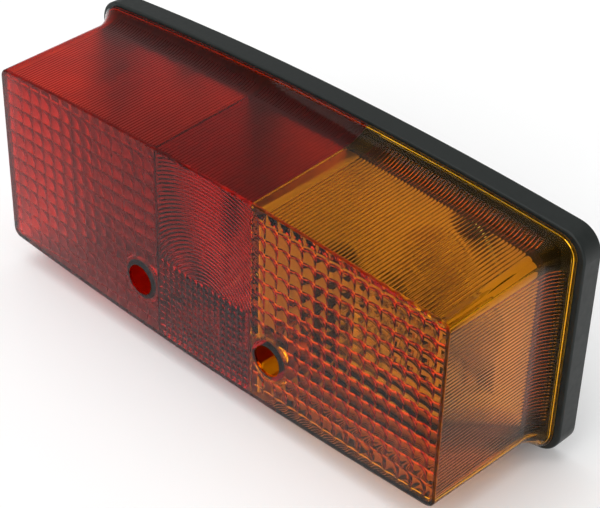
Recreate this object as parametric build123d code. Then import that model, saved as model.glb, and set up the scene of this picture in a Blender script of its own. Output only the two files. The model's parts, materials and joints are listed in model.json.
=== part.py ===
from build123d import *
import os
from math import floor, sqrt

# Rear combination lamp, in millimetres. X runs along the lamp with the indicator at +X, Z is up,
# the mounting face lies in Y = 0 and the lens looks towards -Y.
# A depth is a distance forward of the mounting face.

# Base outline
base_length = 246.0
base_end_height = 93.0
base_crown = 5.0
base_corner_radius = 10.0

# Base section
rim_depth = 9.0
rim_wall = 2.5
ledge_thickness = 3.5
floor_thickness = 2.5
upstand_wall = 2.5
upstand_depth = 18.5
upstand_clearance = 0.4
rim_rib_thickness = 1.8
rim_rib_pitch = 30.0
rim_edge_radius = 0.8

# Lens form: how far each section stands in from the one behind it, and the crown of its long sides
lamp_depth = 68.0
waist_depth = 21.0
rim_inset_end = 2.7
rim_inset_side = 1.2
flare_end = 5.3
flare_side = 3.8
draft_end = 0.3
draft_side = 2.5
waist_crown = 4.3
front_crown = 3.6
lens_rim_corner = 8.5
waist_corner = 5.5
front_corner = 4.0
front_edge_radius = 0.8
flare_sections = 4
rim_land = 0.9
waist_land = 0.3

# Lens walls, the plate between the tail and stop bays and the joint of the two colours
lens_wall = 1.6
lens_front = 1.8
divider_wall = 1.4
divider_clearance = 0.5
tail_stop_x = -24.7
joint_x = 26.0

# Lens optics
flute_pitch = 1.5
flute_height = 0.3
flute_land = 0.4
flute_corner = 3.0
joint_band = 6.0
pillow_pitch = 6.0
pillow_columns = 14
pillow_rows = 12
pillow_height = 1.0
pillow_top = 2.6
ring_pitch = 1.6
ring_height = 0.7
ring_draft = 0.2
reflex_pitch = 3.0
reflex_columns = 16
reflex_rows = 11
reflex_height = 1.3
reflex_zone_top = -5.8
optic_web = 0.2
optic_root = 0.4
optic_margin = 0.2

# Gasket between the ledge and the lens rim
gasket_width = 1.2
gasket_groove_depth = 1.5
gasket_proud = 0.5
gasket_side_clearance = 0.1

# Lens screws in their wells
screw_spacing = 69.0
screw_z = -21.0
well_diameter = 12.6
well_wall = 2.0
well_floor_depth = 40.0
well_floor_thickness = 3.0
screw_clearance_diameter = 5.4
pilot_diameter = 4.0
pilot_length = 18.0
post_diameter = 12.0
screw_shank_diameter = 3.8
screw_length = 15.0
screw_tip_length = 2.5
screw_head_diameter = 9.4
screw_head_height = 3.4
screw_head_edge = 1.4
recess_length = 5.2
recess_width = 1.5
recess_depth = 1.9
washer_diameter = 11.0
washer_thickness = 1.0

# Mounting holes for two M6 bolts, and the raised faces under their heads
mount_spacing = 152.0
mount_z = 24.0
mount_hole_diameter = 6.5
mount_boss_diameter = 15.0
mount_boss_height = 2.0

# Cable inlet
inlet_x = -13.0
inlet_z = -26.0
grommet_bore = 6.5
grommet_waist_diameter = 11.0
grommet_flange_diameter = 15.0
grommet_flange = 1.5
grommet_clearance = 0.1
inlet_recess = 1.7

# Bayonet bulb holders
sheet = 0.8
cap_diameter = 15.0
sleeve_clearance = 0.25
holder_flange_diameter = 27.0
sleeve_past_pin = 3.0
slot_width = 2.6
slot_arm = 3.4
rivet_circle = 22.0
rivet_diameter = 2.4
rivet_head_diameter = 4.0
rivet_head_height = 0.7
rivet_recess_diameter = 5.0
rivet_recess_depth = 0.9
rivet_clearance = 0.1
earth_blade_x = 7.0

# Contacts
blade_width = 6.3
blade_length = 9.0
strip_width = 4.0
strip_clearance = 0.15
strip_reach = 24.0
leaf_reach = 4.5
leaf_bend_radius = 1.0
contact_plate_thickness = 1.6
contact_button_diameter = 4.0
contact_button_proud = 0.8
contact_plate_clearance = 0.2
leaf_depth = 6.0

# Bulbs
cap_length = 16.0
cap_wall = 0.5
cap_floor_length = 9.0
cap_base_diameter = 9.0
cap_base_taper = 0.9
pin_diameter = 2.0
pin_reach = 1.2
pin_height = 6.4
glass_wall = 0.8
glass_neck_clearance = 0.2
glass_neck_past_cap = 2.0
large_globe_diameter = 25.0
large_bulb_length = 52.0
small_globe_diameter = 18.0
small_bulb_length = 37.0
stem_diameter = 5.0
stem_length = 12.0
lead_diameter = 0.8
lead_spacing = 4.0
filament_diameter = 0.8
filament_below_tip = 19.0
small_filament_below_tip = 12.0

# Reflector sheets
reflector_sheet = 0.6
reflector_gap = 0.8
reflector_fold = 9.0
reflector_fold_radius = 1.2
reflector_hole_clearance = 0.6
wiring_room = 4.0
screen_clearance = 0.6
peg_diameter = 3.0
peg_height = 1.4
peg_clearance = 0.15
peg_inset = 5.0

# Sizes that follow from those above
rim_length = base_length - 2 * rim_inset_end
rim_end_height = base_end_height - 2 * rim_inset_side
waist_length = rim_length - 2 * flare_end
waist_end_height = rim_end_height - 2 * flare_side
front_length = waist_length - 2 * draft_end
front_end_height = waist_end_height - 2 * draft_side
lens_rim_depth = rim_depth + gasket_proud
cavity_front = lamp_depth - lens_front
bay_half_length = waist_length / 2 - lens_wall - upstand_clearance - upstand_wall
bay_half_height = waist_end_height / 2 - lens_wall - upstand_clearance - upstand_wall
post_front = well_floor_depth - well_floor_thickness
washer_depth = well_floor_depth
head_depth = washer_depth + washer_thickness
strip_groove = floor_thickness - sheet - strip_clearance
plate_depth = leaf_depth + sheet
bulb_foot = plate_depth + contact_plate_thickness + contact_button_proud
cap_foot = bulb_foot + cap_base_taper
pin_depth = cap_foot + pin_height
sleeve_front = pin_depth + sleeve_past_pin
sleeve_radius = cap_diameter / 2 + sleeve_clearance
far_flute_half_length = front_length / 2 - lens_wall
tail_x = (tail_stop_x - divider_wall / 2 - bay_half_length) / 2
stop_x = 0.0
indicator_x = (joint_x + divider_wall + bay_half_length) / 2
bulb_places = [tail_x, stop_x, indicator_x]
screw_places = [-screw_spacing / 2, screw_spacing / 2]
mount_places = [-mount_spacing / 2, mount_spacing / 2]


# Building blocks

def at(depth):
    """Sketch plane parallel to the mounting face, facing forward."""
    return Plane.XZ.offset(depth)


def slab(sketch, rear, front):
    """Sketch in X and Z, extruded between two depths."""
    return extrude(at(rear) * sketch, amount=front - rear)


def rod(x, z, diameter, rear, front):
    return slab(Pos(x, z) * Circle(diameter / 2), rear, front)


def block(left, right, low, high, rear, front):
    centre = Pos((left + right) / 2, (low + high) / 2)
    return slab(centre * Rectangle(right - left, high - low), rear, front)


def lengthwise(z):
    """Sketch plane of X and depth at a height, facing down."""
    return Plane(origin=(0, 0, z), x_dir=(1, 0, 0), z_dir=(0, 0, -1))


def crosswise(x):
    """Sketch plane of Z and depth at a place along the lamp, facing +X."""
    return Plane(origin=(x, 0, 0), x_dir=(0, 0, 1), z_dir=(1, 0, 0))


def turned(points, x=0.0, z=0.0):
    """Solid of revolution about an axis along the depth, from points of radius and depth."""
    profile = lengthwise(0) * make_face(Polyline(points, close=True))
    return Pos(x, 0, z) * revolve(profile, Axis.Y)


def outline(length, end_height, crown, radius):
    """Straight ends, crowned long sides and rounded corners."""
    x, z = length / 2, end_height / 2
    top = ThreePointArc((-x, z), (0, z + crown), (x, z))
    right = Line((x, z), (x, -z))
    bottom = ThreePointArc((x, -z), (0, -z - crown), (-x, -z))
    left = Line((-x, -z), (-x, z))
    sketch = make_face([top, right, bottom, left])
    return fillet(sketch.vertices(), radius)


def base_outline(inset):
    length = base_length - 2 * inset
    end_height = base_end_height - 2 * inset
    return outline(length, end_height, base_crown, base_corner_radius - inset)


def upstand_outline(inset):
    """Inner wall of the base, which stands inside the waist of the lens."""
    inset = inset + lens_wall + upstand_clearance
    length = waist_length - 2 * inset
    end_height = waist_end_height - 2 * inset
    return outline(length, end_height, waist_crown, waist_corner - lens_wall)


# Lens sections

def flare_section(share, inset):
    """Section between the waist, at share 0, and the rim, at share 1, on a parabola."""
    growth = share ** 2
    length = waist_length + 2 * flare_end * growth - 2 * inset
    end_height = waist_end_height + 2 * flare_side * growth - 2 * inset
    crown = waist_crown + (base_crown - waist_crown) * share
    corner = waist_corner + (lens_rim_corner - waist_corner) * share - inset
    return outline(length, end_height, crown, corner)


def flare(inset):
    """Concave flare from the waist of the lens out to the straight land of its rim."""
    land_front = lens_rim_depth + rim_land
    sections = []
    for i in range(flare_sections):
        share = i / (flare_sections - 1)
        depth = waist_depth + (land_front - waist_depth) * share
        sections.append(at(depth) * flare_section(share, inset))
    return loft(sections) + slab(flare_section(1, inset), lens_rim_depth, land_front)


def lens_form():
    """Whole outer form of the lens, filled."""
    front = at(lamp_depth) * outline(front_length, front_end_height, front_crown, front_corner)
    waist = at(waist_depth) * flare_section(0, 0)
    body = loft([waist, front], ruled=True)
    front_edges = body.faces().sort_by(Axis.Y)[0].edges()
    return fillet(front_edges, front_edge_radius) + flare(0)


def station(depth):
    """How far a depth lies from the waist, at 0, to the face of the lens, at 1."""
    return (depth - waist_depth) / (lamp_depth - waist_depth)


def inner_half_length(depth):
    """Half length inside the walls, at the foot of the flutes."""
    return waist_length / 2 - draft_end * station(depth) - lens_wall - flute_land


def inner_half_height(x, depth):
    """Height of the inside of the long walls over the lamp's middle line, at the foot of the flutes."""
    share = station(depth)
    crown = waist_crown + (front_crown - waist_crown) * share
    end_height = waist_end_height / 2 - draft_side * share - lens_wall - flute_land
    return end_height + crown * (1 - (x / inner_half_length(depth)) ** 2)


def flute_run(start, end):
    """Places of the flutes' valleys and ridges between two places, each with its rise."""
    count = floor((end - start) / flute_pitch)
    first = (start + end - count * flute_pitch) / 2
    run = []
    for i in range(count):
        valley = first + i * flute_pitch
        run.append((valley, 0.0))
        run.append((valley + flute_pitch / 2, flute_height))
    return run + [(first + count * flute_pitch, 0.0)]


def fluted_side(side, depth):
    """Points down an outer end wall of a bay, with its flutes, for the side -1 or 1."""
    straight = front_end_height / 2 - lens_wall - flute_corner
    x = inner_half_length(depth)
    return [(side * (x - rise), -z) for z, rise in flute_run(-straight, straight)]


def bay_section(depth, left, right, band):
    """Inside outline of a lens bay. A side without a divider is an outer, fluted end."""
    from_x = -far_flute_half_length + flute_corner if left is None else left + band
    to_x = far_flute_half_length - flute_corner if right is None else right
    run = flute_run(from_x, to_x)
    top = [(x, inner_half_height(x, depth) - rise) for x, rise in run]
    left_side = []
    right_side = []
    if left is None:
        left_side = [(x, -z) for x, z in fluted_side(-1, depth)]
    else:
        top = [(left, inner_half_height(left, depth))] + top
    if right is None:
        right_side = fluted_side(1, depth)
    else:
        top = top + [(right, inner_half_height(right, depth))]
    bottom = [(x, -z) for x, z in reversed(top)]
    return at(depth) * make_face(Polyline(top + right_side + bottom + left_side, close=True))


def bay_cavity(left, right, band=0.0):
    """Fluted hollow of one bay, from the waist to the back of the lens face, with a plain band on its left."""
    waist = bay_section(waist_depth, left, right, band)
    front = bay_section(cavity_front, left, right, band)
    return loft([waist, front], ruled=True)


# Optics on the back of the lens face

def optic_pad(left, right, low, high, height):
    """Plain pad behind the lens face, kept clear of the flutes on the walls."""
    inset = lens_wall + flute_land + flute_height + optic_margin
    limit = outline(front_length - 2 * inset, front_end_height - 2 * inset, front_crown, front_corner)
    reach = front_end_height + front_crown
    low = -reach if low is None else low
    high = reach if high is None else high
    area = block(left, right, low, high, cavity_front - height, cavity_front + optic_root)
    return area & slab(limit, cavity_front - height, cavity_front + optic_root)


def grooves(plane, centre, count, pitch, top, height):
    """V grooves square to a plane, on each side of a number of cells about a centre."""
    rear = cavity_front - height - optic_root
    valley = cavity_front - optic_web
    half = (pitch - top) / 2 * (valley - rear) / (height - optic_web)
    cuts = []
    for i in range(count + 1):
        place = centre + (i - count / 2) * pitch
        corners = [(place - half, rear), (place + half, rear), (place, valley)]
        face = plane * make_face(Polyline(corners, close=True))
        cuts.append(extrude(face, amount=base_length, both=True))
    return cuts


def pillow_pad(left, right):
    """Pad with a grid of raised pillow cells over a whole bay."""
    pad = optic_pad(left, right, None, None, pillow_height)
    middle = (left + right) / 2
    upright = grooves(lengthwise(0), middle, pillow_columns, pillow_pitch, pillow_top, pillow_height)
    level = grooves(crosswise(0), 0, pillow_rows, pillow_pitch, pillow_top, pillow_height)
    return pad - upright - level


def reflex_pad(left, right):
    """Pad with fine pointed reflex cells in the lower part of the stop bay."""
    pad = optic_pad(left, right, None, reflex_zone_top, reflex_height + optic_web)
    middle = (left + right) / 2
    low_middle = reflex_zone_top - reflex_rows * reflex_pitch / 2
    upright = grooves(lengthwise(0), middle, reflex_columns, reflex_pitch, 0, reflex_height)
    level = grooves(crosswise(0), low_middle, reflex_rows, reflex_pitch, 0, reflex_height)
    return pad - upright - level


def ring_pad(left, right, low):
    """Pad with Fresnel rings about the stop bulb."""
    height = ring_height + optic_web
    pad = optic_pad(left, right, low, None, height)
    reach = sqrt(right ** 2 + inner_half_height(0, cavity_front) ** 2)
    count = floor(reach / ring_pitch) + 1
    valley = cavity_front - optic_web
    points = [(0, valley - ring_height)]
    for i in range(1, count + 1):
        radius = i * ring_pitch
        points.append((radius - ring_draft, valley))
        points.append((radius, valley - ring_height))
    points.append((count * ring_pitch, cavity_front + optic_root))
    points.append((0, cavity_front + optic_root))
    return pad & turned(points, stop_x)


def well_tube(x):
    """Tube from the lens face back to the post that takes its screw."""
    return rod(x, screw_z, well_diameter + 2 * well_wall, post_front, cavity_front + optic_root)


def well_hollow(x):
    hollow = rod(x, screw_z, well_diameter, well_floor_depth, lamp_depth)
    return hollow + rod(x, screw_z, screw_clearance_diameter, post_front, well_floor_depth)


def make_lenses():
    """The two mouldings of the lens, joined face to face."""
    form = lens_form()
    joint = Plane(origin=(joint_x, 0, 0), z_dir=(1, 0, 0))
    rear_hollow = flare(lens_wall) + slab(flare_section(0, lens_wall), waist_depth, waist_depth + waist_land)
    tail_side = tail_stop_x - divider_wall / 2
    stop_side = tail_stop_x + divider_wall / 2
    far_side = inner_half_length(cavity_front) - flute_height - optic_margin
    left_well, right_well = screw_places

    stop_left = stop_side + optic_margin
    stop_right = joint_x - optic_margin
    indicator_left = joint_x + optic_margin

    red = split(form, joint, Keep.BOTTOM) - rear_hollow
    red = red - bay_cavity(None, tail_side) - bay_cavity(stop_side, joint_x)
    red = red + pillow_pad(-far_side, tail_side) + well_tube(left_well) - well_hollow(left_well)
    red = red + ring_pad(stop_left, stop_right, reflex_zone_top) + reflex_pad(stop_left, stop_right)

    amber = split(form, joint, Keep.TOP) - rear_hollow - bay_cavity(joint_x, None, joint_band)
    amber = amber + pillow_pad(indicator_left, far_side) + well_tube(right_well) - well_hollow(right_well)
    return red, amber


# Base and gasket

def gasket_ring(clearance, rear, front):
    """Ring under the middle of the lens rim."""
    outer = (lens_wall - gasket_width) / 2 + clearance
    inner = outer + gasket_width - 2 * clearance
    return slab(flare_section(1, outer), rear, front) - slab(flare_section(1, inner), rear, front)


def make_base():
    groove_floor = rim_depth - gasket_groove_depth
    body = slab(base_outline(0), 0, rim_depth)
    front_edges = body.faces().sort_by(Axis.Y)[0].edges()
    body = fillet(front_edges, rim_edge_radius)
    body = body + slab(upstand_outline(0), 0, upstand_depth)
    body = body - slab(upstand_outline(upstand_wall), floor_thickness, upstand_depth)

    channel = slab(base_outline(rim_wall), 0, rim_depth - ledge_thickness)
    channel = channel - slab(upstand_outline(0), 0, rim_depth)
    rib_count = floor(base_length / rim_rib_pitch)
    for i in range(rib_count):
        x = (i - (rib_count - 1) / 2) * rim_rib_pitch
        half = rim_rib_thickness / 2
        channel = channel - block(x - half, x + half, -base_length, base_length, 0, rim_depth)
    body = body - channel - gasket_ring(0, groove_floor, rim_depth)

    inside = slab(upstand_outline(0), 0, waist_depth)
    divider_front = waist_depth + waist_land - divider_clearance
    for x in (tail_stop_x, joint_x + divider_wall / 2):
        half = divider_wall / 2
        divider = block(x - half, x + half, -base_length, base_length, 0, divider_front)
        body = body + (divider & inside)
    for x in screw_places:
        body = body + rod(x, screw_z, post_diameter, 0, post_front)
        body = body - rod(x, screw_z, pilot_diameter, post_front - pilot_length, post_front)
    for x in mount_places:
        body = body + rod(x, mount_z, mount_boss_diameter, 0, floor_thickness + mount_boss_height)
        body = body - rod(x, mount_z, mount_hole_diameter, 0, floor_thickness + mount_boss_height)
    body = body - rod(inlet_x, inlet_z, grommet_waist_diameter, 0, floor_thickness)
    body = body - rod(inlet_x, inlet_z, grommet_flange_diameter, 0, inlet_recess)

    for x in bulb_places:
        half = strip_width / 2 + strip_clearance
        top = leaf_reach + sheet + strip_clearance
        low = -strip_reach - sheet - strip_clearance
        body = body - block(x - half, x + half, low, top, strip_groove, floor_thickness)
        wide = blade_width / 2 + strip_clearance
        high = -strip_reach + strip_clearance
        body = body - block(x - wide, x + wide, low, high, strip_groove, floor_thickness)
        for side in (-rivet_circle / 2, rivet_circle / 2):
            body = body - rod(x + side, 0, rivet_diameter + rivet_clearance, 0, floor_thickness)
            body = body - rod(x + side, 0, rivet_recess_diameter, 0, rivet_recess_depth)
    for x, z in peg_places():
        body = body + rod(x, z, peg_diameter, 0, floor_thickness + peg_height)
    return body


def make_gasket():
    return gasket_ring(gasket_side_clearance, rim_depth - gasket_groove_depth, lens_rim_depth)


# Reflector sheets

def bay_sides():
    """Left and right limits of the three bays of the base."""
    half = divider_wall / 2
    return [
        (-bay_half_length, tail_stop_x - half),
        (tail_stop_x + half, joint_x),
        (joint_x + divider_wall, bay_half_length),
    ]


def peg_places():
    """Two pegs in the upper corners of each bay."""
    z = bay_half_height - reflector_gap - reflector_sheet - peg_inset
    places = []
    for left, right in bay_sides():
        places.append((left + reflector_gap + peg_inset, z))
        places.append((right - reflector_gap - peg_inset, z))
    return places


def make_reflector(bay):
    """Sheet over the floor of a bay with its upper and lower edges folded forward."""
    left, right = bay_sides()[bay]
    left = left + reflector_gap
    right = right - reflector_gap
    high = bay_half_height - reflector_gap
    front = floor_thickness + reflector_sheet
    fold_front = floor_thickness + reflector_fold
    sheet_metal = block(left, right, -high, high, floor_thickness, fold_front)
    inner_high = high - reflector_sheet
    sheet_metal -= block(left, right, -inner_high, inner_high, front, fold_front)
    rear_edges = sheet_metal.edges().filter_by(Axis.X).group_by(Axis.Y)[-1]
    sheet_metal = fillet(rear_edges, reflector_fold_radius)
    sheet_metal &= slab(upstand_outline(upstand_wall + reflector_gap), floor_thickness, fold_front)
    opening = holder_flange_diameter + 2 * reflector_hole_clearance
    sheet_metal -= rod(bulb_places[bay], 0, opening, floor_thickness, front)
    blade_half = blade_width / 2 + reflector_hole_clearance
    slot_left = bulb_places[bay] - blade_half
    slot_right = bulb_places[bay] + earth_blade_x + blade_half
    slot_low = -strip_reach - wiring_room
    sheet_metal -= block(slot_left, slot_right, slot_low, 0, floor_thickness, front)
    inlet = grommet_flange_diameter + 2 * reflector_hole_clearance
    sheet_metal -= rod(inlet_x, inlet_z, inlet, floor_thickness, front)
    for x in mount_places:
        boss = mount_boss_diameter + 2 * reflector_hole_clearance
        sheet_metal -= rod(x, mount_z, boss, floor_thickness, front)
    for x in screw_places:
        post = post_diameter + 2 * reflector_hole_clearance
        sheet_metal -= rod(x, screw_z, post, floor_thickness, front)
    for x, z in peg_places():
        sheet_metal -= rod(x, z, peg_diameter + 2 * peg_clearance, floor_thickness, front)
    return sheet_metal


def make_screen():
    """Tall side of the indicator reflector that keeps its light out of the stop bay."""
    left = bay_sides()[2][0] + reflector_gap
    front = cavity_front - pillow_height - screen_clearance
    high = inner_half_height(left, cavity_front) - flute_height - screen_clearance
    screen = block(left, left + reflector_sheet, -high, high, floor_thickness, front)
    tube = well_diameter + 2 * well_wall + 2 * screen_clearance
    return screen - rod(screw_spacing / 2, screw_z, tube, floor_thickness, front)


# Bulb holders, contacts and bulbs

def make_holder(x):
    """Drawn sleeve with a flange, two bayonet slots and a folded earth blade."""
    outer = sleeve_radius + sheet
    flange_front = floor_thickness + sheet
    flange = holder_flange_diameter / 2
    holder = turned([
        (sleeve_radius, floor_thickness),
        (flange, floor_thickness),
        (flange, flange_front),
        (outer, flange_front),
        (outer, sleeve_front),
        (sleeve_radius, sleeve_front),
    ])
    slot_floor = pin_depth - slot_width / 2
    for side in (-1, 1):
        entry = block(-slot_width / 2, slot_width / 2, 0, side * flange, slot_floor, sleeve_front)
        arm_end = -side * (slot_arm + slot_width / 2)
        arm = block(min(0, arm_end), max(0, arm_end), 0, side * flange, slot_floor, slot_floor + slot_width)
        holder = holder - entry - arm
    blade_left = earth_blade_x - blade_width / 2
    blade_right = earth_blade_x + blade_width / 2
    foot = -flange - sheet
    holder += block(blade_left, blade_right, foot, 0, floor_thickness, flange_front) - turned([
        (0, 0),
        (outer, 0),
        (outer, sleeve_front),
        (0, sleeve_front),
    ])
    blade_front = floor_thickness + blade_length
    holder += block(blade_left, blade_right, foot, foot + sheet, floor_thickness, blade_front)
    for side in (-rivet_circle / 2, rivet_circle / 2):
        holder -= rod(side, 0, rivet_diameter + rivet_clearance, floor_thickness, flange_front)
    return Pos(x, 0, 0) * holder


def make_rivets():
    """Six solid rivets, closed in recesses of the mounting face."""
    rivets = []
    flange_front = floor_thickness + sheet
    shank = rivet_diameter / 2
    head = rivet_head_diameter / 2
    for x in bulb_places:
        for side in (-rivet_circle / 2, rivet_circle / 2):
            rivets.append(turned([
                (0, rivet_recess_depth - rivet_head_height),
                (head, rivet_recess_depth - rivet_head_height),
                (head, rivet_recess_depth),
                (shank, rivet_recess_depth),
                (shank, flange_front),
                (head, flange_front),
                (shank, flange_front + rivet_head_height),
                (0, flange_front + rivet_head_height),
            ], x + side))
    return Compound(children=rivets)


def make_contact_plate(x):
    """Insulating disc on the leaf of the contact spring, with a hole for the button."""
    hole = contact_button_diameter + 2 * contact_plate_clearance
    wide = 2 * sleeve_radius - 2 * contact_plate_clearance
    front = plate_depth + contact_plate_thickness
    return rod(x, 0, wide, plate_depth, front) - rod(x, 0, hole, plate_depth, front)


def make_contact_spring(x):
    """One bent strip: feed blade, run along the floor, leaf and contact button."""
    low = strip_groove + sheet / 2
    leaf = leaf_depth + sheet / 2
    bends = [(-strip_reach, low), (leaf_reach, low), (leaf_reach, leaf), (-leaf_reach, leaf)]
    strip = trace(FilletPolyline(bends, radius=leaf_bend_radius), line_width=sheet)
    spring = extrude(crosswise(x) * strip, strip_width / 2, both=True)
    half = blade_width / 2
    foot = -strip_reach - sheet
    spring += block(x - half, x + half, foot, -strip_reach, strip_groove, strip_groove + blade_length)
    return spring + rod(x, 0, contact_button_diameter, leaf, bulb_foot)


def make_bulb_cap(x):
    """Bayonet cap with two pins and a tapered foot that ends in the solder contact."""
    radius = cap_diameter / 2
    seat = cap_foot + cap_floor_length
    rim = cap_foot + cap_length
    cap = turned([
        (0, bulb_foot),
        (cap_base_diameter / 2, bulb_foot),
        (radius, cap_foot),
        (radius, rim),
        (radius - cap_wall, rim),
        (radius - cap_wall, seat),
        (0, seat),
    ])
    pin = Circle(pin_diameter / 2)
    pins = extrude(lengthwise(0) * Pos(slot_arm, pin_depth) * pin, radius + pin_reach)
    pins += extrude(lengthwise(0) * Pos(-slot_arm, pin_depth) * pin, -radius - pin_reach)
    hollow = turned([(0, seat), (radius - cap_wall, seat), (radius - cap_wall, rim), (0, rim)])
    return Pos(x, 0, 0) * (cap + (pins - hollow))


def globe(inset, globe_diameter, length):
    """Envelope of a bulb: neck, tangent cone and globe, filled."""
    neck = cap_diameter / 2 - cap_wall - glass_neck_clearance - inset
    foot = cap_foot + cap_floor_length
    shoulder = cap_foot + cap_length + glass_neck_past_cap
    radius = globe_diameter / 2 - inset
    centre = bulb_foot + length - globe_diameter / 2
    rise = centre - shoulder
    span = sqrt(neck ** 2 + rise ** 2)
    along = sqrt(span ** 2 - radius ** 2)
    touch_x = (neck * radius ** 2 + rise * radius * along) / span ** 2
    touch_d = centre - (rise * radius ** 2 - neck * radius * along) / span ** 2
    tip = (0, centre + radius)
    lines = [
        Line((0, foot), (neck, foot)),
        Line((neck, foot), (neck, shoulder)),
        Line((neck, shoulder), (touch_x, touch_d)),
        ThreePointArc((touch_x, touch_d), (radius, centre), tip),
        Line(tip, (0, foot)),
    ]
    return revolve(lengthwise(0) * make_face(lines), Axis.Y)


def make_bulb_glass(x, globe_diameter, length):
    return Pos(x, 0, 0) * (globe(0, globe_diameter, length) - globe(glass_wall, globe_diameter, length))


def make_filament(x, length, below_tip):
    """Glass stem with two leads and the filament across them."""
    foot = cap_foot + cap_floor_length
    stem_top = foot + stem_length
    height = bulb_foot + length - below_tip
    mount = rod(0, 0, stem_diameter, foot, stem_top)
    half = lead_spacing / 2
    for side in (-half, half):
        mount += rod(side, 0, lead_diameter, stem_top - lead_diameter, height)
    bar = Plane(origin=(0, -height, 0), z_dir=(1, 0, 0)) * Circle(filament_diameter / 2)
    mount += extrude(bar, half + lead_diameter / 2, both=True)
    return Pos(x, 0, 0) * mount


# Fasteners and inlet

def make_screws():
    """Pan-head screws with a cross recess, seated on their washers."""
    screws = []
    shank = screw_shank_diameter / 2
    head = screw_head_diameter / 2
    top = head_depth + screw_head_height
    tip = head_depth - screw_length - well_floor_thickness - washer_thickness
    for x in screw_places:
        screw = turned([
            (0, tip),
            (shank, tip + screw_tip_length),
            (shank, head_depth),
            (head, head_depth),
            (head, head_depth + screw_head_edge),
            (recess_length / 2, top),
            (0, top),
        ], x, screw_z)
        for length, width in ((recess_length, recess_width), (recess_width, recess_length)):
            half_length, half_width = length / 2, width / 2
            screw -= block(x - half_length, x + half_length, screw_z - half_width, screw_z + half_width,
                           top - recess_depth, top)
        screws.append(screw)
    return Compound(children=screws)


def make_washers():
    washers = []
    for x in screw_places:
        disc = rod(x, screw_z, washer_diameter, washer_depth, head_depth)
        washers.append(disc - rod(x, screw_z, screw_clearance_diameter, washer_depth, head_depth))
    return Compound(children=washers)


def make_grommet():
    """Rubber inlet: a flange on each side of the floor and a waist through it."""
    bore = grommet_bore / 2
    waist = grommet_waist_diameter / 2
    flange = grommet_flange_diameter / 2
    front = floor_thickness + grommet_flange
    return turned([
        (bore, 0),
        (flange - grommet_clearance, 0),
        (flange - grommet_clearance, inlet_recess),
        (waist - grommet_clearance, inlet_recess),
        (waist - grommet_clearance, floor_thickness),
        (flange, floor_thickness),
        (flange, floor_thickness + grommet_flange / 2),
        (waist, front),
        (bore, front),
    ], inlet_x, inlet_z)


# Write each piece

os.makedirs("parts", exist_ok=True)
red_lens, amber_lens = make_lenses()
pieces = {
    "base_housing": make_base(),
    "lens_gasket": make_gasket(),
    "red_lens": red_lens,
    "amber_lens": amber_lens,
    "lens_screws": make_screws(),
    "screw_washers": make_washers(),
    "tail_reflector": make_reflector(0),
    "stop_reflector": make_reflector(1),
    "indicator_reflector": make_reflector(2) + make_screen(),
    "holder_rivets": make_rivets(),
    "cable_grommet": make_grommet(),
}
for name, x in zip(("tail", "stop", "indicator"), bulb_places):
    small = name == "tail"
    globe_diameter = small_globe_diameter if small else large_globe_diameter
    length = small_bulb_length if small else large_bulb_length
    below_tip = small_filament_below_tip if small else filament_below_tip
    pieces[name + "_bulb_holder"] = make_holder(x)
    pieces[name + "_contact_plate"] = make_contact_plate(x)
    pieces[name + "_contact_spring"] = make_contact_spring(x)
    pieces[name + "_bulb_cap"] = make_bulb_cap(x)
    pieces[name + "_bulb_glass"] = make_bulb_glass(x, globe_diameter, length)
    pieces[name + "_bulb_filament"] = make_filament(x, length, below_tip)
for name, shape in pieces.items():
    export_step(shape, f"parts/{name}.step")
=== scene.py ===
import json
import math
from collections import namedtuple
import bmesh
import bpy
from mathutils import Matrix, Vector
from mathutils.geometry import delaunay_2d_cdt


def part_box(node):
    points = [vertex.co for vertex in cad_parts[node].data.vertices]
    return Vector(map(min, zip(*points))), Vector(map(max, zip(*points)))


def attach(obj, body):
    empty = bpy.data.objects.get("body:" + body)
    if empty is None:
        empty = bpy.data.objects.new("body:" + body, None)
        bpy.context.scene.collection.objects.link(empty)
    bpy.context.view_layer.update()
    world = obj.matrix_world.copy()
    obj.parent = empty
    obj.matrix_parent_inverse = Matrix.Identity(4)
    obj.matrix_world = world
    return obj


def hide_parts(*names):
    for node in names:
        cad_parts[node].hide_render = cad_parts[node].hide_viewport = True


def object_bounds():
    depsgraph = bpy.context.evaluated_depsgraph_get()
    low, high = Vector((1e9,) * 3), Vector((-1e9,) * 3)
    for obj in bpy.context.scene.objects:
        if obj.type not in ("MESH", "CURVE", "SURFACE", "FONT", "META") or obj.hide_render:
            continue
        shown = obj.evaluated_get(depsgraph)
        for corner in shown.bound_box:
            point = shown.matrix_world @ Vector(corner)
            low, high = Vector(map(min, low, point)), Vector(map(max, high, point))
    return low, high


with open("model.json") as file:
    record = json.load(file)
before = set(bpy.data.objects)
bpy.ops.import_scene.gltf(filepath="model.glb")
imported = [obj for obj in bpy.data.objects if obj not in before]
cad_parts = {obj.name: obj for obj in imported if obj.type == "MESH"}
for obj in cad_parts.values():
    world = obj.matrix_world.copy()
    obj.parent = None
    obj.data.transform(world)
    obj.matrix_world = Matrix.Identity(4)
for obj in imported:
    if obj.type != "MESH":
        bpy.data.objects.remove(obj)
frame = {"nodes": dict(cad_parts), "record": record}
cad_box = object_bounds()
nodes = frame["nodes"]

# Camera fitted to the photograph, in millimetres and pixels
MM = 0.001
PHOTO_WIDTH = 600
PHOTO_HEIGHT = 508
FOCAL_PX = 1672
PRINCIPAL_PX = (296, 239)
SENSOR = 36
CAMERA_PLACE = Vector((366.7, -400.6, 354.0)) * MM
CAMERA_RIGHT = Vector((0.7109, 0.7029, 0.0217))
CAMERA_DOWN = Vector((0.4098, -0.3890, -0.8250))

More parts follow.
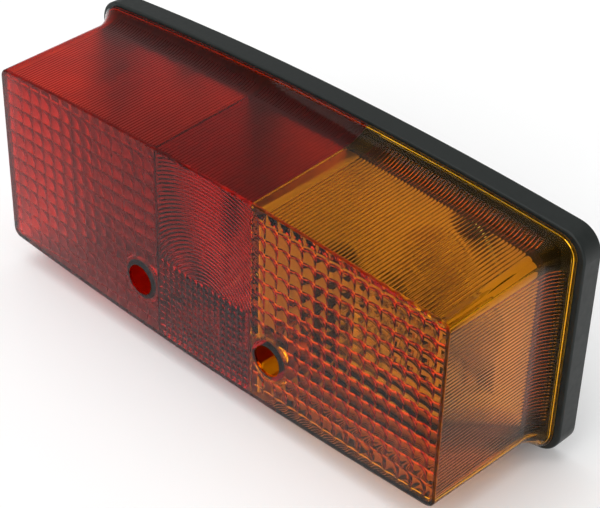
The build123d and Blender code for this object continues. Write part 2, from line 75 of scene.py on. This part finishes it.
# Lens form in millimetres, from the solids where they show it
RED_LOW, RED_HIGH = (Vector(corner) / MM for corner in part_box("red_lens"))
JOINT_X = RED_HIGH.x
LAMP_DEPTH = -RED_LOW.y
RIM_DEPTH = -RED_HIGH.y
RIM_CROWN = 5.0
RIM_HALF_LENGTH = -RED_LOW.x
RIM_HALF_HEIGHT = RED_HIGH.z - RIM_CROWN
RIM_CORNER = 8.5
WAIST_DEPTH = 21.0
WAIST_CROWN = 4.3
WAIST_CORNER = 5.5
FRONT_CROWN = 3.6
FRONT_CORNER = 4.0
FLARE_END = 5.3
FLARE_SIDE = 3.8
DRAFT_END = 0.3
DRAFT_SIDE = 2.5
EDGE_RADIUS = 0.8
RIM_LAND = 0.83
WALL = 1.6
FRONT_WALL = 1.8
CAVITY_DEPTH = LAMP_DEPTH - FRONT_WALL
DIVIDER = 0.9
TAIL_STOP_X = -24.7
JOINT_GAP = 0.03

# Lens optics
FLUTE_PITCH = 1.5
RED_FLUTE_HEIGHT = 0.1
AMBER_FLUTE_HEIGHT = 0.18
FLARE_FLUTE_GAIN = 1.8
FLUTE_STEPS = 6
FLUTE_LAST_X = 109.3
FLUTE_LAST_Z = 34.5
FLUTE_START = 0.3
FLUTE_FADE_REAR = 10.5
FLUTE_FADE_FRONT = 12.5
JOINT_BAND = 6.0
PILLOW_PITCH = 6.0
RED_PILLOW_HEIGHT = 1.3
AMBER_PILLOW_HEIGHT = 1.5
PILLOW_STEPS = 8
RING_PLACE = (-1.5, -17.0)
RING_PITCH = 1.6
RING_HEIGHT = 0.4
RING_STEPS = 4
RING_TURNS = 240
REFLEX_PITCH = 3.0
REFLEX_HEIGHT = 1.3
REFLEX_TOP = -5.8
EDGE_MARGIN = 0.65

# Screw wells
SCREW_X = 34.5
SCREW_Z = -21.0
WELL_RADIUS = 6.3
WELL_DEPTH = 40.0
TUBE_RADIUS = 8.3
TUBE_DEPTH = 37.0
SCREW_HOLE_RADIUS = 2.7
WELL_BORDER = 1.2

# Mesh steps
LONG_STEPS = 60
CORNER_STEPS = 3 * FLUTE_STEPS
ROUND_STEPS = 48
EDGE_STEPS = 4
FLARE_STEPS = 8
WELD = 0.002
SHARP_ANGLE = 28
INSIDE_ONLY = 1
ROUND_FLAT = math.cos(math.pi / ROUND_STEPS)

# Lens colours: share of light left after a millimetre of acrylic, and after its skin
RED = (0.94, 0.42, 0.14)
AMBER = (0.995, 0.87, 0.34)
RED_SKIN = (1.0, 1.0, 1.0)
AMBER_SKIN = (1.0, 0.8, 0.7)
WORN_SKIN = 0.96
ACRYLIC_IOR = 1.49
ACRYLIC_SHINE = (0.1, 0.1, 0.1, 1)
GLASS_IOR = 1.5

# Roughness of the lens faces
POLISHED = 0.03
FROSTED = 0.4
SATIN = 0.5
GROUND = 0.45
SCUFFS = (0.7, 1.3)

# Grain of the materials in waves over a metre, and relief in millimetres
NOISE_LOW, NOISE_HIGH = 0.3, 0.7
CLOUD_GRAIN = 40
SCUFF_GRAIN = 120
ROLLED_GRAIN = 60
BLOWN_GRAIN = 80
PRESSED_GRAIN = 200
FINE_GRAIN = 300
MOULDED_GRAIN = 400
RELIEF_FINENESS = 6
RELIEF_STRENGTH = 0.4
SMOOTH_RELIEF = 0.01
METAL_RELIEF = 0.02
FIBRE_RELIEF = 0.03
RUBBER_RELIEF = 0.05
PLAIN_SHINE = 0.5
DULL_SHINE = 0.25

# Stage
FLOOR_SIZE = 6
FLOOR_WHITE = (0.97, 0.97, 0.97, 1)
FLOOR_ROUGHNESS = 0.6
SKY_STRENGTH = 0.5
SUN_SPREAD = 50

Section = namedtuple("Section", "length height crown corner")


paints = {}


def new_material(name):
    """A material kept under its slot's name; gives its node tree and shader."""
    material = bpy.data.materials.new(name)
    material.use_nodes = True
    paints[name] = material
    return material.node_tree, material.node_tree.nodes["Principled BSDF"]


def paint(obj, name):
    obj.data.materials.clear()
    obj.data.materials.append(paints[name])


def noise(tree, scale, detail=3.0):
    """Noise over the object's own coordinates, in metres."""
    place = tree.nodes.new("ShaderNodeTexCoord")
    texture = tree.nodes.new("ShaderNodeTexNoise")
    texture.inputs["Scale"].default_value = scale
    texture.inputs["Detail"].default_value = detail
    tree.links.new(place.outputs["Object"], texture.inputs["Vector"])
    return texture.outputs["Fac"]


def spread(tree, value, low, high):
    """A factor mapped to a range."""
    node = tree.nodes.new("ShaderNodeMapRange")
    node.inputs["From Min"].default_value = NOISE_LOW
    node.inputs["From Max"].default_value = NOISE_HIGH
    node.inputs["To Min"].default_value = low
    node.inputs["To Max"].default_value = high
    tree.links.new(value, node.inputs["Value"])
    return node.outputs["Result"]


def tint(tree, value, dark, light):
    """A factor mapped to a blend of two colours."""
    node = tree.nodes.new("ShaderNodeValToRGB")
    first, last = node.color_ramp.elements
    first.position, last.position = NOISE_LOW, NOISE_HIGH
    first.color, last.color = (*dark, 1), (*light, 1)
    tree.links.new(value, node.inputs["Fac"])
    return node.outputs["Color"]


def bump(tree, shader, height, relief):
    node = tree.nodes.new("ShaderNodeBump")
    node.inputs["Strength"].default_value = RELIEF_STRENGTH
    node.inputs["Distance"].default_value = relief * MM
    tree.links.new(height, node.inputs["Height"])
    tree.links.new(node.outputs["Normal"], shader.inputs["Normal"])


def acrylic(name, colour, skin):
    """Clear acrylic: the light's path in it gives the colour, and the skin a little of it."""
    tree, shader = new_material(name)
    shader.inputs["Transmission Weight"].default_value = 1
    shader.inputs["IOR"].default_value = ACRYLIC_IOR
    shader.inputs["Specular Tint"].default_value = ACRYLIC_SHINE
    worn = [WORN_SKIN * share for share in skin]
    tree.links.new(tint(tree, noise(tree, CLOUD_GRAIN), worn, skin), shader.inputs["Base Color"])
    finish = tree.nodes.new("ShaderNodeAttribute")
    finish.attribute_name = "finish"
    wear = tree.nodes.new("ShaderNodeMath")
    wear.operation = "MULTIPLY"
    tree.links.new(finish.outputs["Fac"], wear.inputs[0])
    tree.links.new(spread(tree, noise(tree, SCUFF_GRAIN), *SCUFFS), wear.inputs[1])
    tree.links.new(wear.outputs["Value"], shader.inputs["Roughness"])
    losses = [-math.log(share) / MM for share in colour]
    volume = tree.nodes.new("ShaderNodeVolumeAbsorption")
    volume.inputs["Density"].default_value = max(losses)
    volume.inputs["Color"].default_value = [1 - loss / max(losses) for loss in losses] + [1]
    tree.links.new(volume.outputs["Volume"], tree.nodes["Material Output"].inputs["Volume"])


def glass(name, dark, light, roughness):
    """Clear glass with faint streaks."""
    tree, shader = new_material(name)
    shader.inputs["Transmission Weight"].default_value = 1
    shader.inputs["IOR"].default_value = GLASS_IOR
    streaks = noise(tree, BLOWN_GRAIN)
    tree.links.new(tint(tree, streaks, dark, light), shader.inputs["Base Color"])
    tree.links.new(spread(tree, streaks, *roughness), shader.inputs["Roughness"])


def solid(name, dark, light, roughness, relief, grain=FINE_GRAIN, metallic=0, shine=PLAIN_SHINE):
    """Opaque material with colour and roughness that vary with the grain, and a fine relief."""
    tree, shader = new_material(name)
    shader.inputs["Metallic"].default_value = metallic
    shader.inputs["Specular IOR Level"].default_value = shine
    pattern = noise(tree, grain)
    tree.links.new(tint(tree, pattern, dark, light), shader.inputs["Base Color"])
    tree.links.new(spread(tree, pattern, *roughness), shader.inputs["Roughness"])
    bump(tree, shader, noise(tree, grain * RELIEF_FINENESS), relief)


def metal(name, dark, light, roughness, relief=METAL_RELIEF, grain=FINE_GRAIN):
    solid(name, dark, light, roughness, relief, grain, metallic=1)


def blend(start, end, share):
    return start + (end - start) * share


def spaced(start, end, steps):
    return [blend(start, end, i / steps) for i in range(steps + 1)]


def section(depth, inset=0.0):
    """Half outline of the lens at a depth, set in by a wall."""
    waist_length = RIM_HALF_LENGTH - FLARE_END
    waist_height = RIM_HALF_HEIGHT - FLARE_SIDE
    if depth < WAIST_DEPTH:
        share = min(1, (WAIST_DEPTH - depth) / (WAIST_DEPTH - RIM_DEPTH - RIM_LAND))
        length = waist_length + FLARE_END * share ** 2
        height = waist_height + FLARE_SIDE * share ** 2
        crown = blend(WAIST_CROWN, RIM_CROWN, share)
        corner = blend(WAIST_CORNER, RIM_CORNER, share)
    else:
        share = (depth - WAIST_DEPTH) / (LAMP_DEPTH - WAIST_DEPTH)
        length = waist_length - DRAFT_END * share
        height = waist_height - DRAFT_SIDE * share
        crown = blend(WAIST_CROWN, FRONT_CROWN, share)
        corner = blend(WAIST_CORNER, FRONT_CORNER, share)
    return Section(length - inset, height - inset, crown, corner - inset)


def roof(shape, x):
    """Height of the crowned long side over the middle line."""
    return shape.height + shape.crown * (1 - (x / shape.length) ** 2)


def flute_rise(i, height):
    """Rise of round flutes at a step across them."""
    across = 2 * (i % FLUTE_STEPS) / FLUTE_STEPS - 1
    return height * (1 - across ** 2)


def corner_arc(shape, flute_height=0.0):
    """Points round the upper outer corner of a section, with flutes."""
    x = shape.length - shape.corner
    z = roof(shape, x) - shape.corner
    points = []
    for i, angle in enumerate(spaced(math.pi / 2, 0, CORNER_STEPS)):
        radius = shape.corner - flute_rise(i, flute_height)
        points.append((x + radius * math.cos(angle), z + radius * math.sin(angle)))
    return points


def mirrored(points):
    """The same points below the middle line, in the opposite order."""
    return [(x, -z) for x, z in reversed(points)]


def outer_loop(depth, inset, start):
    """Outer outline from the joint round the far end and back, above and below."""
    shape = section(depth, inset)
    long_side = [(x, roof(shape, x)) for x in spaced(start, shape.length - shape.corner, LONG_STEPS)]
    upper = long_side[:-1] + corner_arc(shape)
    return upper + mirrored(upper)


def flutes(start, end, height):
    """Places across round flutes between two places, each with its rise."""
    count = int((end - start) / FLUTE_PITCH)
    first = (start + end - count * FLUTE_PITCH) / 2
    step = FLUTE_PITCH / FLUTE_STEPS
    return [(first + i * step, flute_rise(i, height)) for i in range(count * FLUTE_STEPS + 1)]


def fluted_run(left, right, band, height):
    """Flutes between two walls, with a plain band at the first one."""
    end = right - FLUTE_START if right < FLUTE_LAST_X else right
    return [(left, 0.0)] + flutes(left + band, end, height) + [(right, 0.0)]


def flute_share(depth):
    """Growth of the flutes down the flare and their end before the rim."""
    flared = max(0, (WAIST_DEPTH - depth) / (WAIST_DEPTH - FLUTE_FADE_FRONT))
    fade = (depth - FLUTE_FADE_REAR) / (FLUTE_FADE_FRONT - FLUTE_FADE_REAR)
    return blend(1, FLARE_FLUTE_GAIN, min(1, flared)) * min(1, max(0, fade))


def inner_top(depth, run):
    shape = section(depth, WALL)
    return [(x, roof(shape, x) - rise * flute_share(depth)) for x, rise in run]


def inner_end(depth, flute_height):
    """Outer end wall from the upper corner to the lower one, with its flutes."""
    shape = section(depth, WALL)
    height = flute_height * flute_share(depth)
    arc = corner_arc(shape, height)
    end = [(shape.length - rise, -z) for z, rise in flutes(-FLUTE_LAST_Z, FLUTE_LAST_Z, height)]
    return arc + end + mirrored(arc)


def column(x, depth):
    """Upright line on a divider, from the top of the bay to the bottom."""
    top = roof(section(depth, WALL), x)
    return [(x, z) for z in spaced(top, -top, LONG_STEPS)]


def circle(radius):
    angles = spaced(0, 2 * math.pi, ROUND_STEPS)
    return [(SCREW_X + radius * math.cos(a), SCREW_Z + radius * math.sin(a)) for a in angles]


def off_tube(x, z):
    return math.hypot(x - SCREW_X, z - SCREW_Z)


def to_micrometre(x, z):
    return round(x, 3), round(z, 3)


class Moulding:
    """Closed mesh made of patches that share their edges, in millimetres of X, depth and Z."""

    def __init__(self, side, flute_height, wall_finish):
        self.side = side
        self.flute_height = flute_height
        self.wall_finish = wall_finish
        self.places = []
        self.faces = []
        self.finishes = {}

    def add(self, points):
        first = len(self.places)
        self.places += [(self.side * x * MM, -depth * MM, z * MM) for x, depth, z in points]
        return range(first, len(self.places))

    def strip(self, points, depth, next_points, next_depth, finish=POLISHED):
        """Faces between two rows of points, each at its own depth."""
        row = self.add([(x, depth, z) for x, z in points])
        next_row = self.add([(x, next_depth, z) for x, z in next_points])
        for i in range(len(row) - 1):
            self.finishes[len(self.faces)] = finish
            self.faces.append((row[i], row[i + 1], next_row[i + 1], next_row[i]))

    def fill(self, loops, lift, points=(), keep=lambda u, v: True):
        """Triangles inside closed loops, over loose points too, lifted from the plane."""
        flat = []
        edges = []
        for loop in loops:
            first = len(flat)
            flat += [Vector(p) for p in loop]
            edges += [(first + i, first + (i + 1) % len(loop)) for i in range(len(loop))]
        flat += [Vector(p) for p in points]
        found, _, triangles, *_ = delaunay_2d_cdt(flat, edges, [], INSIDE_ONLY, WELD / 10)
        row = self.add([lift(p.x, p.y) for p in found])
        for triangle in triangles:
            u = sum(found[i].x for i in triangle) / 3
            v = sum(found[i].y for i in triangle) / 3
            if keep(u, v):
                self.faces.append([row[i] for i in triangle])

    def make(self, name, node, slot_name):
        """The finished object, in place of its solid."""
        mesh = bpy.data.meshes.new(name)
        mesh.from_pydata(self.places, [], self.faces)
        finish = mesh.attributes.new("finish", "FLOAT", "FACE")
        for i in range(len(self.faces)):
            finish.data[i].value = self.finishes.get(i, POLISHED)
        work = bmesh.new()
        work.from_mesh(mesh)
        bmesh.ops.remove_doubles(work, verts=work.verts, dist=WELD * MM)
        bmesh.ops.recalc_face_normals(work, faces=work.faces)
        work.to_mesh(mesh)
        work.free()
        mesh.shade_smooth()
        mesh.set_sharp_from_angle(angle=math.radians(SHARP_ANGLE))
        obj = bpy.data.objects.new(name, mesh)
        bpy.context.scene.collection.objects.link(obj)
        paint(obj, slot_name)
        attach(obj, "root")
        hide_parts(node)


class Bay:
    """One bay of a moulding between two upright planes.

    Without a right plane it ends at the outer wall. A bay with a plain band wider than usual
    has that band ground.
    """

    def __init__(self, lens, left, right=None, band=FLUTE_START, wall_left=False, tube=True):
        self.left = left
        self.right = right
        self.lens = lens
        self.ground_band = band > FLUTE_START
        self.wall_left = wall_left
        self.tube = tube
        last_x = FLUTE_LAST_X if right is None else right
        self.run = fluted_run(left, last_x, band, lens.flute_height)

    def walls(self, depth):
        """Round the bay from the top of its left plane to the bottom of it."""
        top = inner_top(depth, self.run)
        if self.right is None:
            middle = inner_end(depth, self.lens.flute_height)
        else:
            middle = column(self.right, depth)[1:-1]
        return top + middle + mirrored(top)

    def holds(self, x, z):
        """Whether a place on the lens face is clear of the walls and of the screw tube."""
        shape = section(CAVITY_DEPTH, WALL + EDGE_MARGIN)
        if x < self.left + EDGE_MARGIN or abs(z) > roof(shape, x):
            return False
        if self.tube and off_tube(x, z) < TUBE_RADIUS + EDGE_MARGIN:
            return False
        if self.right is not None:
            return x < self.right - EDGE_MARGIN
        corner_x = shape.length - shape.corner
        corner_z = roof(shape, corner_x) - shape.corner
        beyond = (max(x - corner_x, 0), max(abs(z) - corner_z, 0))
        return math.hypot(*beyond) < shape.corner

    def build(self, relief, points, finish=POLISHED):
        """Walls, screw tube and the relief on the back of the lens face."""
        lens = self.lens
        front = self.walls(CAVITY_DEPTH)
        first = len(lens.faces)
        lens.strip(front, CAVITY_DEPTH, self.walls(WAIST_DEPTH), WAIST_DEPTH, lens.wall_finish)
        if self.ground_band:
            lens.finishes[first] = lens.finishes[len(lens.faces) - 1] = GROUND
        left_side = column(self.left, CAVITY_DEPTH)
        if self.wall_left:
            lens.strip(left_side, CAVITY_DEPTH, column(self.left, WAIST_DEPTH), WAIST_DEPTH)
        loops = [front + left_side[-2:0:-1]]
        if self.tube:
            tube = circle(TUBE_RADIUS)
            loops.append(tube[:-1])
            lens.strip(tube, CAVITY_DEPTH, tube, TUBE_DEPTH)
            lens.strip(tube, TUBE_DEPTH, circle(SCREW_HOLE_RADIUS), TUBE_DEPTH)
        edge = {to_micrometre(x, z) for loop in loops for x, z in loop}

        def outside_tube(x, z):
            return not self.tube or off_tube(x, z) > TUBE_RADIUS * ROUND_FLAT

        def lift(x, z):
            flat = to_micrometre(x, z) in edge
            near_tube = self.tube and off_tube(x, z) < TUBE_RADIUS + WELL_BORDER
            height = 0 if flat or near_tube else relief(x, z)
            return x, CAVITY_DEPTH - height, z

        first = len(lens.faces)
        lens.fill(loops, lift, [p for p in points if self.holds(*p)], outside_tube)
        lens.finishes.update(dict.fromkeys(range(first, len(lens.faces)), finish))


def pillow(left, rise):
    """Height of domed cells that repeat from a left edge and about the middle line."""
    def height(x, z):
        u = 2 * ((x - left) / PILLOW_PITCH % 1) - 1
        v = 2 * (z / PILLOW_PITCH % 1) - 1
        return rise * (1 - (u * u + v * v) / 2)
    return height


def pillow_points(left):
    """Mesh points over the pillow cells."""
    step = PILLOW_PITCH / PILLOW_STEPS
    columns = int((RIM_HALF_LENGTH - left) / step)
    rows = int((RIM_HALF_HEIGHT + RIM_CROWN) / step)
    return [(left + i * step, j * step) for i in range(columns) for j in range(-rows, rows + 1)]


def stop_relief(x, z):
    """Ring prisms about the stop bulb, and pointed reflex cells below them."""
    if z < REFLEX_TOP:
        u = abs(2 * (x / REFLEX_PITCH % 1) - 1)
        v = abs(2 * ((z - REFLEX_TOP) / REFLEX_PITCH % 1) - 1)
        return REFLEX_HEIGHT * (1 - max(u, v))
    across = 2 * (math.dist((x, z), RING_PLACE) / RING_PITCH % 1) - 1
    return RING_HEIGHT * (1 - across ** 2)


def stop_points():
    """Mesh points on the crests and valleys of the rings and reflex cells."""
    points = []
    reach = RIM_HALF_HEIGHT + RIM_CROWN
    ring_x, ring_z = RING_PLACE
    step = RING_PITCH / RING_STEPS
    for i in range(1, int((reach - ring_z) / step) + 1):
        for turn in spaced(0, math.pi, RING_TURNS):
            place = (ring_x + i * step * math.cos(turn), ring_z + i * step * math.sin(turn))
            if place[1] > REFLEX_TOP:
                points.append(place)
    half = REFLEX_PITCH / 2
    for i in range(-int(reach / half), int(reach / half) + 1):
        for j in range(int(reach / half)):
            if (i + j) % 2 == 0 or j % 2 == 0:
                points.append((i * half, REFLEX_TOP - j * half))
    return points


def build_shell(lens, start):
    """Outer skin, rounded front edge, lens face and screw well."""
    rows = [(RIM_DEPTH, 0.0)]
    rows += [(depth, 0.0) for depth in spaced(RIM_DEPTH + RIM_LAND, WAIST_DEPTH, FLARE_STEPS)]
    for turn in spaced(0, math.pi / 2, EDGE_STEPS):
        depth = LAMP_DEPTH - EDGE_RADIUS * (1 - math.sin(turn))
        rows.append((depth, EDGE_RADIUS * (1 - math.cos(turn))))
    loops = [(outer_loop(depth, inset, start), depth) for depth, inset in rows]
    finishes = [GROUND] + [POLISHED] * (FLARE_STEPS + 1) + [GROUND] * EDGE_STEPS
    for here, there, finish in zip(loops, loops[1:], finishes):
        lens.strip(*here, *there, finish)
    well = circle(WELL_RADIUS)
    screw_hole = circle(SCREW_HOLE_RADIUS)
    lens.fill([loops[-1][0], well[:-1]], lambda x, z: (x, LAMP_DEPTH, z),
              keep=lambda x, z: off_tube(x, z) > WELL_RADIUS * ROUND_FLAT)
    lens.strip(well, LAMP_DEPTH, well, WELL_DEPTH)
    lens.strip(well, WELL_DEPTH, screw_hole, WELL_DEPTH)
    lens.strip(screw_hole, WELL_DEPTH, screw_hole, TUBE_DEPTH)
    return [(depth, loop[0][1]) for loop, depth in loops]


def build_rear(lens, run, start):
    """Inside of the flare, with the flutes running out before the rim, and the rim itself."""
    depths = spaced(WAIST_DEPTH, FLUTE_FADE_FRONT, FLARE_STEPS)
    depths += [FLUTE_FADE_REAR, RIM_DEPTH]
    loops = []
    for depth in depths:
        top = inner_top(depth, run)
        loops.append((top + inner_end(depth, lens.flute_height) + mirrored(top), depth))
    for here, there in zip(loops, loops[1:]):
        lens.strip(*here, *there, lens.wall_finish)
    rim = outer_loop(RIM_DEPTH, 0, start) + loops[-1][0][::-1]
    lens.fill([rim], lambda x, z: (x, RIM_DEPTH, z))
    return [(depth, loop[0][1]) for loop, depth in loops]


def build_joint(lens, start, bay, outer, inner):
    """Face where the two mouldings meet: the section of the walls and of the lens face."""
    inside = inner[::-1] + [(CAVITY_DEPTH, bay.walls(CAVITY_DEPTH)[0][1])]
    side = [(CAVITY_DEPTH, z) for x, z in column(start, CAVITY_DEPTH)][1:-1]
    loop = outer + mirrored(outer)
    loop += [(depth, -z) for depth, z in inside] + side[::-1] + inside[::-1]
    lens.fill([loop], lambda depth, z: (start, depth, z))


def build_red():
    """Red moulding over the stop and tail bays, drawn towards +X and then mirrored."""
    lens = Moulding(-1, RED_FLUTE_HEIGHT, SATIN)
    start = JOINT_GAP - JOINT_X
    stop_right = -TAIL_STOP_X - DIVIDER / 2
    tail_left = -TAIL_STOP_X + DIVIDER / 2
    stop = Bay(lens, start, stop_right, tube=False)
    tail = Bay(lens, tail_left, wall_left=True)
    stop.build(stop_relief, stop_points())
    tail.build(pillow(tail_left, RED_PILLOW_HEIGHT), pillow_points(tail_left), FROSTED)
    divider_sides = column(stop_right, WAIST_DEPTH), column(tail_left, WAIST_DEPTH)
    lens.strip(divider_sides[0], WAIST_DEPTH, divider_sides[1], WAIST_DEPTH)
    outer = build_shell(lens, start)
    inner = build_rear(lens, stop.run + tail.run, start)
    build_joint(lens, start, stop, outer, inner)
    lens.make("red_moulding", "red_lens", "red_acrylic")


def build_amber():
    """Amber moulding over the indicator bay."""
    lens = Moulding(1, AMBER_FLUTE_HEIGHT, POLISHED)
    bay = Bay(lens, JOINT_X, band=JOINT_BAND)
    bay.build(pillow(JOINT_X, AMBER_PILLOW_HEIGHT), pillow_points(JOINT_X))
    outer = build_shell(lens, JOINT_X)
    inner = build_rear(lens, bay.run, JOINT_X)
    build_joint(lens, JOINT_X, bay, outer, inner)
    lens.make("amber_moulding", "amber_lens", "amber_acrylic")


# Materials with their dark and light colour and their range of roughness
RUBBER_COLOURS = ((0.012, 0.012, 0.012), (0.02, 0.02, 0.02))
acrylic("red_acrylic", RED, RED_SKIN)
acrylic("amber_acrylic", AMBER, AMBER_SKIN)
glass("clear_glass", (0.94, 0.96, 0.96), (0.98, 0.99, 0.99), (0.0, 0.03))
solid("base_plastic", (0.008, 0.011, 0.010), (0.012, 0.015, 0.014), (0.38, 0.5),
      SMOOTH_RELIEF, MOULDED_GRAIN, shine=DULL_SHINE)
solid("gasket_rubber", *RUBBER_COLOURS, (0.7, 0.85), RUBBER_RELIEF)
solid("grommet_rubber", *RUBBER_COLOURS, (0.65, 0.8), RUBBER_RELIEF)
solid("washer_fibre", (0.03, 0.03, 0.03), (0.05, 0.05, 0.05), (0.6, 0.8), RUBBER_RELIEF)
solid("insulating_fibre", (0.25, 0.11, 0.04), (0.32, 0.15, 0.06), (0.6, 0.7), FIBRE_RELIEF)
solid("bright_reflector", (0.88, 0.88, 0.87), (0.94, 0.94, 0.93), (0.5, 0.6),
      METAL_RELIEF, ROLLED_GRAIN)
metal("zinc_steel", (0.5, 0.5, 0.47), (0.65, 0.65, 0.62), (0.25, 0.4))
metal("rivet_steel", (0.5, 0.5, 0.47), (0.62, 0.62, 0.6), (0.3, 0.45))
metal("holder_steel", (0.6, 0.58, 0.52), (0.7, 0.68, 0.62), (0.3, 0.4), grain=PRESSED_GRAIN)
metal("contact_brass", (0.7, 0.5, 0.2), (0.8, 0.6, 0.28), (0.25, 0.35), grain=PRESSED_GRAIN)
metal("cap_nickel", (0.62, 0.58, 0.5), (0.72, 0.68, 0.6), (0.22, 0.32), grain=PRESSED_GRAIN)
metal("filament_wire", (0.4, 0.4, 0.38), (0.5, 0.5, 0.48), (0.3, 0.4), SMOOTH_RELIEF)

for row in frame["record"]["subparts"]:
    paint(nodes[row["node"]], row["material_slot"])
build_red()
build_amber()

# Floor that meets the lowest edge of the base
low_corner, _ = cad_box
bpy.ops.mesh.primitive_plane_add(size=FLOOR_SIZE, location=(0, 0, low_corner[2]))
floor = bpy.context.object
floor.name = "floor"
_, floor_shader = new_material("floor")
floor_shader.inputs["Base Color"].default_value = FLOOR_WHITE
floor_shader.inputs["Roughness"].default_value = FLOOR_ROUGHNESS
floor_shader.inputs["Specular IOR Level"].default_value = 0
paint(floor, "floor")

# White surroundings
world = bpy.data.worlds.new("surroundings")
world.use_nodes = True
bpy.context.scene.world = world
sky = world.node_tree.nodes["Background"]
sky.inputs["Color"].default_value = (1, 1, 1, 1)
sky.inputs["Strength"].default_value = SKY_STRENGTH


def add_sun(name, direction, energy):
    """Soft distant lamp."""
    lamp = bpy.data.lights.new(name, "SUN")
    lamp.energy = energy
    lamp.angle = math.radians(SUN_SPREAD)
    obj = bpy.data.objects.new(name, lamp)
    obj.rotation_euler = Vector(direction).to_track_quat("-Z", "Y").to_euler()
    bpy.context.scene.collection.objects.link(obj)


add_sun("key", (0.25, 0.3, -0.92), 0.9)
add_sun("front", (-0.25, 0.85, -0.46), 1.3)
add_sun("top", (0.1, -0.1, -1), 0.5)

# Camera
camera = bpy.data.cameras.new("camera")
camera.sensor_width = SENSOR
camera.sensor_fit = "HORIZONTAL"
camera.lens = FOCAL_PX / PHOTO_WIDTH * SENSOR
camera.shift_x = (PHOTO_WIDTH / 2 - PRINCIPAL_PX[0]) / PHOTO_WIDTH
camera.shift_y = (PRINCIPAL_PX[1] - PHOTO_HEIGHT / 2) / PHOTO_WIDTH
camera_object = bpy.data.objects.new("camera", camera)
right = CAMERA_RIGHT.normalized()
up = -CAMERA_DOWN
up = (up - right * up.dot(right)).normalized()
turn = Matrix((right, up, right.cross(up))).transposed().to_4x4()
camera_object.matrix_world = Matrix.Translation(CAMERA_PLACE) @ turn
bpy.context.scene.collection.objects.link(camera_object)
bpy.context.scene.camera = camera_object
bpy.context.scene.view_settings.view_transform = "Standard"
